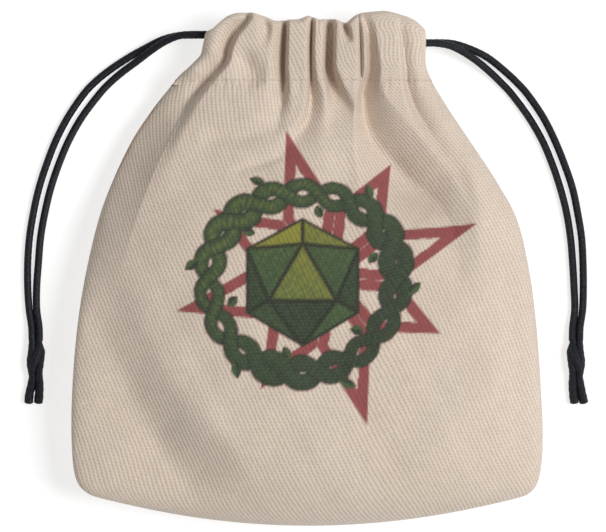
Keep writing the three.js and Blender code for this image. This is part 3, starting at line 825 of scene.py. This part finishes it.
class Nodes:
    """Short names for building a material's nodes."""

    def __init__(self, name):
        self.material = bpy.data.materials.get(name)
        if self.material is None:
            self.material = bpy.data.materials.new(name)
        self.material.use_nodes = True
        self.tree = self.material.node_tree
        self.tree.nodes.clear()
        self.out = self.tree.nodes.new("ShaderNodeOutputMaterial")
        self.shader = self.tree.nodes.new("ShaderNodeBsdfPrincipled")
        self.link(self.shader.outputs["BSDF"], self.out.inputs["Surface"])

    def link(self, source, target):
        """Joins an output to an input."""
        self.tree.links.new(source, target)

    def put(self, value, socket):
        """Links an output, or sets a plain value."""
        if isinstance(value, bpy.types.NodeSocket):
            self.link(value, socket)
        else:
            socket.default_value = value

    def math(self, operation, a, b=0.0, c=0.0):
        """One step of arithmetic on outputs or numbers."""
        node = self.tree.nodes.new("ShaderNodeMath")
        node.operation = operation
        for value, socket in zip((a, b, c), node.inputs):
            self.put(value, socket)
        return node.outputs[0]

    def cosine(self, value, offset=0.0):
        """0.5 + 0.5 cos(2 pi value)."""
        turned = self.math("MULTIPLY_ADD", value, TAU, offset)
        return self.math("MULTIPLY_ADD", self.math("COSINE", turned), 0.5, 0.5)

    def noise(self, vector, scale, detail=2.0, rough=0.5):
        """Cloudy noise from 0 to 1, with scale lumps to the metre."""
        node = self.tree.nodes.new("ShaderNodeTexNoise")
        self.link(vector, node.inputs["Vector"])
        node.inputs["Scale"].default_value = scale
        node.inputs["Detail"].default_value = detail
        node.inputs["Roughness"].default_value = rough
        return node.outputs["Fac"]

    def mix_colour(self, factor, a, b):
        """Colour a where the factor is 0 and b where it is 1."""
        node = self.tree.nodes.new("ShaderNodeMix")
        node.data_type = "RGBA"
        self.put(factor, node.inputs[0])
        self.put(a, node.inputs[6])
        self.put(b, node.inputs[7])
        return node.outputs[2]

    def scaled(self, colour, factor):
        """A colour made lighter or darker by a factor."""
        node = self.tree.nodes.new("ShaderNodeMix")
        node.data_type = "RGBA"
        node.blend_type = "MULTIPLY"
        node.inputs[0].default_value = 1.0
        self.put(colour, node.inputs[6])
        self.link(factor, node.inputs[7])
        return node.outputs[2]

    def bump(self, height, strength, distance):
        """Lets a height from 0 to 1 tilt the surface as if it were distance high, in metres."""
        node = self.tree.nodes.new("ShaderNodeBump")
        node.inputs["Strength"].default_value = strength
        node.inputs["Distance"].default_value = distance
        self.link(height, node.inputs["Height"])
        self.link(node.outputs["Normal"], self.shader.inputs["Normal"])

    def cloth_uv(self):
        """The two numbers of the piece's own map, in metres."""
        node = self.tree.nodes.new("ShaderNodeUVMap")
        node.uv_map = "cloth"
        split = self.tree.nodes.new("ShaderNodeSeparateXYZ")
        self.link(node.outputs["UV"], split.inputs[0])
        return split.outputs[0], split.outputs[1]

    def object_coordinates(self):
        """Place in the object, in metres."""
        return self.tree.nodes.new("ShaderNodeTexCoord").outputs["Object"]


def twill_material(name, s, printed):
    """Cotton twill. Two families of yarns, warp_pitch and weft_pitch apart, pass over each other so that
    each weft shows at every third warp, one warp further on in the next row: the floats line up in
    slanting ribs, with a small dark dip where each weft shows. The ribs and dips are the bump and shade
    the colour."""
    n = Nodes(name)
    u, v = n.cloth_uv()
    place = n.object_coordinates()
    wobble = n.noise(place, 900, 2.0)
    drift = n.noise(place, 110, 2.0)
    warp = n.math("MULTIPLY", u, 1 / s.warp_pitch)
    weft = n.math("MULTIPLY", v, 1 / s.weft_pitch)
    warp = n.math("ADD", warp, n.math("MULTIPLY_ADD", wobble, 0.9, -0.45))
    warp = n.math("ADD", warp, n.math("MULTIPLY_ADD", drift, 1.2, -0.6))
    weft = n.math("ADD", weft, n.math("MULTIPLY_ADD", wobble, 0.7, -0.35))
    phase = n.math("MULTIPLY", n.math("ADD", warp, weft), 1 / 3)
    valley = n.cosine(phase)
    valley_sharp = n.math("POWER", valley, 2.0)
    dip_row = n.math("POWER", n.cosine(weft), 1.6)
    dips = n.math("MULTIPLY", valley_sharp, dip_row)
    yarns = n.cosine(warp)
    fibre = n.noise(place, 3200, 3.0, 0.7)
    height = n.math("MULTIPLY_ADD", valley, -0.55, 1.0)
    height = n.math("MULTIPLY_ADD", dips, -0.60, height)
    height = n.math("MULTIPLY_ADD", yarns, -0.12, height)
    height = n.math("MULTIPLY_ADD", fibre, 0.30, height)
    # colour: the ribs are light, the valleys and dips are in shade, and yarns differ a little
    yarn_tone = n.noise(place, 420, 3.0, 0.6)
    patch_tone = n.noise(place, 45, 2.0)
    shade = n.math("MULTIPLY_ADD", valley_sharp, -s.rib_shade, 1.0)
    shade = n.math("MULTIPLY_ADD", dips, -s.dip_shade, shade)
    shade = n.math("ADD", shade, n.math("MULTIPLY_ADD", yarn_tone, 0.16, -0.08))
    shade = n.math("ADD", shade, n.math("MULTIPLY_ADD", patch_tone, 0.10, -0.05))
    shade = n.math("ADD", shade, n.math("MULTIPLY_ADD", fibre, 0.22, -0.11))
    shade = n.math("MAXIMUM", shade, 0.18)
    colour = n.mix_colour(patch_tone, (*s.cloth_warm, 1), (*s.cloth_cool, 1))
    if printed:
        ink = n.tree.nodes.new("ShaderNodeAttribute")
        ink.attribute_name = "print_ink"
        cover = n.math("MULTIPLY", ink.outputs["Alpha"], n.math("MULTIPLY_ADD", dips, -0.10, 0.97))
        colour = n.mix_colour(cover, colour, ink.outputs["Color"])
    colour = n.scaled(colour, shade)
    n.link(colour, n.shader.inputs["Base Color"])
    rough = n.math("MULTIPLY_ADD", fibre, 0.12, 0.84)
    n.link(rough, n.shader.inputs["Roughness"])
    n.shader.inputs["Specular IOR Level"].default_value = 0.18
    n.shader.inputs["Sheen Weight"].default_value = 0.18
    n.shader.inputs["Sheen Roughness"].default_value = 0.5
    n.bump(height, 0.45, 0.0002)
    return n.material


def thread_material(name, s):
    """Spun sewing thread: a fine twist along its length."""
    n = Nodes(name)
    u, v = n.cloth_uv()
    place = n.object_coordinates()
    around = n.math("MULTIPLY", u, 1 / (0.5 * MM))
    along = n.math("MULTIPLY", v, 1 / (0.45 * MM))
    twist = n.cosine(n.math("ADD", around, along))
    tone = n.noise(place, 900, 2.0)
    shade = n.math("MULTIPLY_ADD", twist, 0.25, 0.75)
    colour = n.mix_colour(tone, (*s.cloth_warm, 1), (*s.cloth_cool, 1))
    n.link(n.scaled(colour, shade), n.shader.inputs["Base Color"])
    n.link(n.math("MULTIPLY_ADD", tone, 0.15, 0.6), n.shader.inputs["Roughness"])
    n.bump(twist, 0.4, 0.0001)
    return n.material


def cord_material(name, s):
    """Waxed braided cord: near black, with the braid's crossing strands in the bump and fine fibres. Small
    painted highlights, spots of a lighter colour on the braid's crests, stand in for glints of light on the
    cord."""
    n = Nodes(name)
    u, v = n.cloth_uv()
    place = n.object_coordinates()
    around = n.math("MULTIPLY", u, 2 / (TAU * MM))
    along = n.math("MULTIPLY", v, 1 / (1.7 * MM))
    one = n.cosine(n.math("MULTIPLY", n.math("ADD", around, along), 2.0))
    two = n.cosine(n.math("MULTIPLY", n.math("SUBTRACT", around, along), 2.0))
    weave = n.math("MAXIMUM", one, two)
    fibre = n.noise(place, 5200, 3.0, 0.7)
    # painted highlights: where this noise is high on the braid's crests, the colour turns lighter, standing
    # in for glints of light
    glint_noise = n.noise(place, 1700, 2.0, 0.6)
    height = n.math("MULTIPLY_ADD", fibre, 0.5, weave)
    painted_glints = n.math("MULTIPLY", n.math("SUBTRACT", glint_noise, 0.56), 5.0)
    painted_glints = n.math("MULTIPLY", n.math("MINIMUM", n.math("MAXIMUM", painted_glints, 0.0), 1.0), weave)
    colour = n.mix_colour(painted_glints, (*s.cord_black, 1), (*s.painted_glint_colour, 1))
    n.link(colour, n.shader.inputs["Base Color"])
    n.link(n.math("MULTIPLY_ADD", fibre, 0.25, 0.48), n.shader.inputs["Roughness"])
    n.shader.inputs["Specular IOR Level"].default_value = 0.3
    n.bump(height, 0.5, 0.00012)
    return n.material


# ---------------------------------------------------------------- settings

class DiceBagCloth(bpy.types.PropertyGroup):
    """Colours and weave of the cloth"""

    warp_pitch: FloatProperty(
        name="Warp pitch", description="Distance between warp yarns", default=0.41 * MM, unit="LENGTH")
    weft_pitch: FloatProperty(
        name="Weft pitch", description="Distance between weft yarns", default=0.91 * MM, unit="LENGTH")
    rib_shade: FloatProperty(
        name="Rib shade", description="How dark the line between two ribs is", default=0.14, subtype="FACTOR")
    dip_shade: FloatProperty(
        name="Dip shade", description="How dark the dip at each weft is", default=0.17, subtype="FACTOR")
    cloth_warm: FloatVectorProperty(
        name="Warm cotton", description="The cloth's warmer tone", subtype="COLOR",
        default=(0.76, 0.63, 0.51))
    cloth_cool: FloatVectorProperty(
        name="Cool cotton", description="The cloth's cooler tone", subtype="COLOR",
        default=(0.72, 0.61, 0.52))
    thread_size: FloatProperty(
        name="Thread", description="Sewing thread's diameter", default=0.34 * MM, unit="LENGTH")


class DiceBagPrint(bpy.types.PropertyGroup):
    """Size, place and inks of the print"""

    print_x: FloatProperty(
        name="Across", description="Wreath's centre across the cloth", default=-1.5 * MM, unit="LENGTH")
    print_y: FloatProperty(
        name="Down", description="Wreath's centre from the stitching", default=-55.5 * MM, unit="LENGTH")
    star_radius: FloatProperty(
        name="Star", description="Reach of the star's long points", default=42.5 * MM, unit="LENGTH")
    star_shift: FloatVectorProperty(
        name="Star shift", description="Star's centre from the wreath's", size=2,
        default=(6.5 * MM, 1.5 * MM), unit="LENGTH")
    star_band: FloatProperty(
        name="Star band", description="Width of the star's outline", default=3.0 * MM, unit="LENGTH")
    star_turn: FloatProperty(
        name="Star turn", description="Turn of the star", default=math.radians(15), subtype="ANGLE")
    wreath_radius: FloatProperty(
        name="Wreath", description="Middle radius of the wreath", default=25.2 * MM, unit="LENGTH")
    die_radius: FloatProperty(
        name="Die", description="Outer radius of the die", default=17.5 * MM, unit="LENGTH")
    red_ink: FloatVectorProperty(
        name="Red ink", description="Star's colour", subtype="COLOR", default=(0.305, 0.070, 0.075))
    dark_green: FloatVectorProperty(
        name="Dark green", description="Shadows of the die and wreath", subtype="COLOR",
        default=(0.022, 0.038, 0.026))
    mid_green: FloatVectorProperty(
        name="Mid green", description="Body of the die and wreath", subtype="COLOR",
        default=(0.065, 0.125, 0.045))
    yellow_green: FloatVectorProperty(
        name="Yellow green", description="Lights of the die", subtype="COLOR",
        default=(0.290, 0.275, 0.042))


class DiceBagCord(bpy.types.PropertyGroup):
    """Size and colours of the drawstrings"""

    diameter: FloatProperty(
        name="Diameter", description="Cord's diameter", default=2.0 * MM, unit="LENGTH")
    cord_black: FloatVectorProperty(
        name="Cord", description="The cord's colour", subtype="COLOR", default=(0.0065, 0.008, 0.012))
    # colour of the painted highlights on the cord's crests
    painted_glint_colour: FloatVectorProperty(
        name="Flecks", description="Where the wax catches light", subtype="COLOR",
        default=(0.045, 0.055, 0.075))


# ---------------------------------------------------------------- operators

def finish_piece(obj, node, material):
    """Hides the frame's node that a piece stands for, and gives the piece its material."""
    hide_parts(node)
    obj.data.materials.clear()
    obj.data.materials.append(material)


def blend_body(obj):
    """Puts the piece's placement into its points, so that it stands at the origin."""
    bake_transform(obj)


def blend_casing(obj):
    """Puts the piece's placement into its points, so that it stands at the origin."""
    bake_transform(obj)


class DICEBAG_OT_front(bpy.types.Operator):
    """Front panel and front casing, each in a left and a right half, with the print"""

    bl_idname = "dicebag.front"
    bl_label = "Front of the bag"

    def execute(self, context):
        s = context.scene.dicebag_cloth
        printed = twill_material("printed_twill", s, True)
        plain = twill_material("plain_twill", s, False)
        columns, rows, casing_rows = FRONT_GRID
        v = np.linspace(0, 1, rows + 1)
        for side, sign in SIDES.items():
            a = sign * np.linspace(0, 1, columns + 1)
            body = cloth_piece(f"front_cloth_{side}", front_body(a, v), sign, rows)
            flat_cloth = cloth_coordinates(front_body(a, v, folded=False), rows)
            inks = print_ink(sign * flat_cloth[..., 0], flat_cloth[..., 1], context.scene.dicebag_print)
            layer = body.data.attributes.new("print_ink", "FLOAT_COLOR", "POINT")
            layer.data.foreach_set("color", inks.astype(np.float32).ravel())
            blend_body(body)
            finish_piece(body, "front_panel", printed)
            casing = cloth_piece(f"front_hem_{side}", front_casing(a, *casing_rows), sign, 0)
            blend_casing(casing)
            finish_piece(casing, "front_casing", plain)
        return {"FINISHED"}


class DICEBAG_OT_back(bpy.types.Operator):
    """Back panel and back casing, each in a left and a right half"""

    bl_idname = "dicebag.back"
    bl_label = "Back of the bag"

    def execute(self, context):
        plain = twill_material("plain_twill", context.scene.dicebag_cloth, False)
        columns, rows, casing_rows = BACK_GRID
        v = np.linspace(0, 1, rows + 1)
        for side, sign in SIDES.items():
            a = sign * np.linspace(0, 1, columns + 1)
            body = cloth_piece(f"back_cloth_{side}", back_body(a, v), sign, rows, flip=True)
            blend_body(body)
            finish_piece(body, "back_panel", plain)
            casing = cloth_piece(f"back_hem_{side}", back_casing(a, *casing_rows), sign, 0, flip=True)
            blend_casing(casing)
            finish_piece(casing, "back_casing", plain)
        return {"FINISHED"}


def stitch_parts(row, lift, size):
    """Separate stitches along a row of cloth points: each leaves the cloth, lies on it and goes in again,
    by a flattened sine. lift is the way out of the cloth."""
    pitch, length = 2.6, 2.0
    run = run_along(row)
    share = np.linspace(0, 1, 7)
    parts = []
    for start in np.arange(0.3, run[-1] - length, pitch):
        at = start + share * length
        points = np.stack([np.interp(at, run, row[:, k]) for k in range(3)], -1)
        points[:, 2] += lift * size * (0.45 * np.sin(np.pi * share) ** 0.6 - 0.35)
        parts.append(tube_mesh(points, size / 2, 8, 0.22))
    return parts


class DICEBAG_OT_sewing(bpy.types.Operator):
    """Casing stitches, the bar tacks of the slits and the turned-in seam edges inside the bag"""

    bl_idname = "dicebag.sewing"
    bl_label = "Sewing"

    def execute(self, context):
        s = context.scene.dicebag_cloth
        thread = thread_material("cotton_thread", s)
        plain = twill_material("plain_twill", s, False)
        along = np.linspace(0.001, 0.985, 500)
        level = np.full((1, len(along)), NEEDLE_Y)
        for side, sign in SIDES.items():
            for face, outside, lift in (("front", front_outside, 1), ("back", back_outside, -1)):
                row = outside(sign * along, level)[0]
                parts = stitch_parts(row, lift, s.thread_size / MM)
                stitches = make_object(f"{face}_stitches_{side}", *join_parts(parts))
                blend_casing(stitches)
                finish_piece(stitches, f"{face}_casing_stitching", thread)
            tack = make_object(f"{side}_slit_tack", *tube_mesh(tack_route(side), 0.2, 10, 0.12))
            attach(tack, f"{side}_neck_edge")
            finish_piece(tack, f"{side}_slit_bar_tack", thread)
            strip = make_object(f"{side}_turned_edge", *side_strip(sign))
            blend_body(strip)
            finish_piece(strip, f"{side}_seam_allowance", plain)
        strip = make_object("bottom_turned_edge", *bottom_strip())
        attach(strip, "bag")
        finish_piece(strip, "bottom_seam_allowance", plain)
        for side in SIDES:
            for face in ("front", "back"):
                on_it = [f"{face}_hem_{side}", f"{face}_stitches_{side}"]
                if face == "back":
                    on_it += [f"{side}_turned_edge", f"{side}_slit_tack"]
                    on_it += ["bottom_turned_edge"] if side == "left" else []
        return {"FINISHED"}


def tack_route(side):
    """A zigzag of thread between the two casings, up the first three millimetres of the slit."""
    sign = SIDES[side]
    neck = LEFT_NECK if side == "left" else RIGHT_NECK
    route = []
    for k in range(15):
        y = 52.2 + 0.2 * k
        edge = float(along_y(neck, y))
        route.append((sign * (edge - 0.1), y, 10.6 if k % 2 else 6.4))
    return route


def strip_section(count):
    """A flat strip's outline, as the place across from 0 to 1 and the height from -1 to 1: a superellipse
    so steep that only its ends are round."""
    across = np.concatenate([np.linspace(0, 1, count), np.linspace(1, 0, count)[1:-1]])
    upper_or_lower = np.concatenate([np.ones(count), -np.ones(count - 2)])
    return across, upper_or_lower * np.sqrt(np.clip(1 - np.abs(2 * across - 1) ** 14, 0, 1))


def strip_grid(outer, inward, thickness=1.4, width=7.6):
    """Points, faces and UV of a strip along the points outer, reaching inward, with a frayed inner edge."""
    across, height = strip_section(22)
    run = run_along(outer)
    fray = 0.25 * np.sin(5.1 * run) + 0.2 * np.sin(11.3 * run + 1) + 0.15 * np.sin(23.9 * run)
    reach = (width + fray)[:, None] * across[None, :]
    points = outer[:, None, :] + reach[..., None] * inward[:, None, :]
    wave = 0.12 * np.sin(0.9 * run[:, None] + 0.5 * reach)
    points[..., 2] += thickness / 2 * height[None, :] + wave
    uv = np.stack([reach, np.broadcast_to(run[:, None], reach.shape)], -1)
    rows, sides = reach.shape
    faces = grid_faces(rows, sides, closed_across=True)
    faces.append(list(reversed(range(sides))))
    faces.append(list(range((rows - 1) * sides, rows * sides)))
    return points, faces, uv


def side_strip(sign):
    """The turned-in edge along one side seam."""
    v = np.linspace(0.2, 0.95, 160)
    line = even_spline(LEFT_SIDE if sign < 0 else RIGHT_SIDE, v**1.2)
    outer = np.stack([sign * (line[:, 0] - 2.0), line[:, 1], seam_at(line[:, 1])], -1)
    inward = np.zeros_like(outer)
    inward[:, 0] = -sign
    points, faces, uv = strip_grid(outer, inward)
    if sign > 0:
        faces = [list(reversed(face)) for face in faces]
    return points, faces, uv


def bottom_strip():
    """The turned-in edge along the bottom seam."""
    x = np.linspace(-45, 45, 180)
    y = BOTTOM_Y + BOTTOM_SAG * (x / LEFT_SIDE[0][0]) ** 2 + 2.4
    outer = np.stack([x, y, np.full(len(x), BOTTOM_SEAM_Z + 0.2)], -1)
    inward = np.zeros_like(outer)
    inward[:, 1] = 1
    return strip_grid(outer, inward, width=6.6)


class DICEBAG_OT_drawstrings(bpy.types.Operator):
    """Both drawstrings: held loop, two strands, knot and two ends each"""

    bl_idname = "dicebag.drawstrings"
    bl_label = "Drawstrings"

    def execute(self, context):
        s = context.scene.dicebag_cord
        material = cord_material("waxed_cord", s)
        radius = s.diameter / MM / 2
        for side, sign in SIDES.items():
            lane = FREE_ENDS[side]["outer"][0][1]
            loop = tube_mesh(held_route(sign, lane), radius, 16, 0.5, BRAID)
            held = make_object(f"{side}_held_cord", *loop)
            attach(held, f"{side}_drawstring")
            finish_piece(held, f"{side}_cord_held_loop", material)
            knot = make_object(f"{side}_tied_knot", *join_parts(knot_parts(side, radius)))
            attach(knot, f"{side}_cord_end")
            finish_piece(knot, f"{side}_cord_knot", material)
            tails = []
            for number, route in enumerate(TAILS[side], 1):
                parts = tube_mesh(route, radius * 1.18, 20, 0.2, BRAID, ends=(0.9, 1.06))
                tail = make_object(f"{side}_loose_end_{number}", *parts)
                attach(tail, f"{side}_cord_end")
                finish_piece(tail, f"{side}_cord_tail_{number}", material)
                tails.append(tail)
            for (which, route), tail in zip(FREE_ENDS[side].items(), tails):
                strand = make_object(f"{side}_strand_{which}", *tube_mesh(route, radius, 22, 0.25, BRAID))
                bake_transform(strand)
                finish_piece(strand, f"{side}_cord_{which}_strand", material)
        return {"FINISHED"}


def held_route(sign, lane):
    """In by the slit, along the front channel, round at the far slit and back along the back channel."""
    front, back = 10.7, 4.2
    middle = (front + back) / 2
    radius = (front - back) / 2
    route = [
        (BEND_FROM_X, 9.5), (29, 9.55), (25, 9.75), (20, 10.0), (15, 10.4),
        (8, front), (-6, front), (-18, front), (-HELD_TURN_X, front),
    ]
    for angle in (60, 30, 0, -30, -60):
        turn = math.radians(angle)
        route.append((-HELD_TURN_X - radius * math.cos(turn), middle + radius * math.sin(turn)))
    route += [
        (-HELD_TURN_X, back), (-18, back), (-6, back), (4, back),
        (10, 4.8), (15, 5.8), (20, 6.4), (25, 6.7), (29, 6.88), (BEND_FROM_X, 6.9),
    ]
    return [(sign * x, lane, z) for x, z in route]


def knot_parts(side, radius):
    """An overhand knot of both strands together, pulled tight: a smooth barrel whose upper half bulges
    towards the bag and whose lower half bulges away from it, with a turn slanting over it in front and
    another behind."""
    x, y = KNOT_MIDDLE[side]
    inner = -SIDES[side]
    # Points across towards the bag, along towards the slit and up, then how much thicker than the cord.
    routes = [
        # away from the bag: in at the top, bulging low down
        ([(-1.0, 5.6, -0.2), (-0.9, 4.2, 0), (-1.0, 2.0, 0),
          (-1.35, -0.6, 0), (-1.15, -2.8, 0), (-0.9, -5.0, -0.4)], 1.12),
        # towards the bag: bulging high up
        ([(0.9, 5.6, -0.2), (0.95, 4.0, 0), (1.5, 2.0, 0),
          (1.3, -0.4, 0), (1.0, -2.8, 0), (0.9, -5.0, -0.4)], 1.12),
        # over the front
        ([(0.7, 3.6, 0.1), (0.75, 2.4, 0.75), (0.25, 0.3, 0.95), (-0.6, -1.9, 0.75), (-0.7, -3.2, 0.1)],
         1.18),
        # behind
        ([(-0.6, 3.4, -0.2), (-0.5, 1.8, -0.7), (0.1, -0.2, -0.85), (0.6, -1.8, -0.7), (0.7, -3.0, -0.2)],
         1.12),
    ]
    parts = []
    for route, thick in routes:
        points = [(x + inner * across, y + along, KNOT_Z + up) for across, along, up in route]
        parts.append(tube_mesh(points, radius * thick, 22, 0.2, BRAID, ends=(0.85, 0.85)))
    return parts


class DICEBAG_OT_stage(bpy.types.Operator):
    """Plain pale floor, soft studio light and the camera above the bag"""

    bl_idname = "dicebag.stage"
    bl_label = "Stage"

    def execute(self, context):
        scene = context.scene
        lens, sensor = 200.0, 36.0
        # The camera sees this width at this height above the table, in millimetres.
        seen_width, seen_height = 167.9, 10
        camera = bpy.data.objects.new("camera", bpy.data.cameras.new("camera"))
        camera.data.lens = lens
        camera.data.sensor_width = sensor
        camera.data.clip_start = 0.01
        camera.data.clip_end = 20
        camera.location = (-1.4 * MM, 0.97 * MM, (seen_height + seen_width / sensor * lens) * MM)
        scene.collection.objects.link(camera)
        scene.camera = camera
        half = 1500
        floor_z = -0.05
        corners = [(x * half, y * half, floor_z) for x, y in ((-1, -1), (1, -1), (1, 1), (-1, 1))]
        floor = make_object("floor", corners, [(0, 1, 2, 3)])
        n = Nodes("pale_floor")
        n.shader.inputs["Base Color"].default_value = (0.36, 0.36, 0.36, 1)
        n.shader.inputs["Emission Color"].default_value = (1, 1, 1, 1)
        n.shader.inputs["Emission Strength"].default_value = 0.72
        n.shader.inputs["Roughness"].default_value = 0.9
        n.shader.inputs["Specular IOR Level"].default_value = 0.1
        floor.data.materials.append(n.material)
        world = bpy.data.worlds.new("studio")
        world.use_nodes = True
        world.node_tree.nodes["Background"].inputs["Color"].default_value = (1, 1, 1, 1)
        world.node_tree.nodes["Background"].inputs["Strength"].default_value = 0.20
        scene.world = world
        # Name, place and size in millimetres, power in watts.
        lamps = [
            ("key", (1225, 60, 1960), 840, 43.5),
            ("fill", (-350, -350, 500), 500, 0.35),
        ]
        for name, place, size, power in lamps:
            lamp = bpy.data.lights.new(name, "AREA")
            lamp.shape = "SQUARE"
            lamp.size = size * MM
            lamp.energy = power
            obj = bpy.data.objects.new(name, lamp)
            obj.location = [c * MM for c in place]
            obj.rotation_euler = (-obj.location).to_track_quat("-Z", "Y").to_euler()
            scene.collection.objects.link(obj)
        scene.view_settings.view_transform = "Standard"
        return {"FINISHED"}


class DICEBAG_PT_panel(bpy.types.Panel):
    """Lists the sizes, the colours and the steps"""

    bl_label = "Dice Bag"
    bl_idname = "DICEBAG_PT_panel"
    bl_space_type = "VIEW_3D"
    bl_region_type = "UI"
    bl_category = "Dice Bag"

    def draw(self, context):
        for group in (context.scene.dicebag_cloth, context.scene.dicebag_print, context.scene.dicebag_cord):
            for key in group.bl_rna.properties.keys():
                if key not in ("rna_type", "name"):
                    self.layout.prop(group, key)
        for operator in OPERATORS:
            self.layout.operator(operator.bl_idname)


OPERATORS = [DICEBAG_OT_stage, DICEBAG_OT_drawstrings, DICEBAG_OT_front, DICEBAG_OT_back, DICEBAG_OT_sewing]
GROUPS = {"dicebag_cloth": DiceBagCloth, "dicebag_print": DiceBagPrint, "dicebag_cord": DiceBagCord}


def register():
    for cls in [*GROUPS.values(), *OPERATORS, DICEBAG_PT_panel]:
        bpy.utils.register_class(cls)
    for name, cls in GROUPS.items():
        setattr(bpy.types.Scene, name, PointerProperty(type=cls))


def unregister():
    for name in GROUPS:
        delattr(bpy.types.Scene, name)
    for cls in [DICEBAG_PT_panel, *OPERATORS, *GROUPS.values()]:
        bpy.utils.unregister_class(cls)


def main():
    register()
    bpy.ops.dicebag.stage()
    bpy.ops.dicebag.drawstrings()
    bpy.ops.dicebag.front()
    bpy.ops.dicebag.back()
    bpy.ops.dicebag.sewing()


if __name__ == "__main__":
    main()
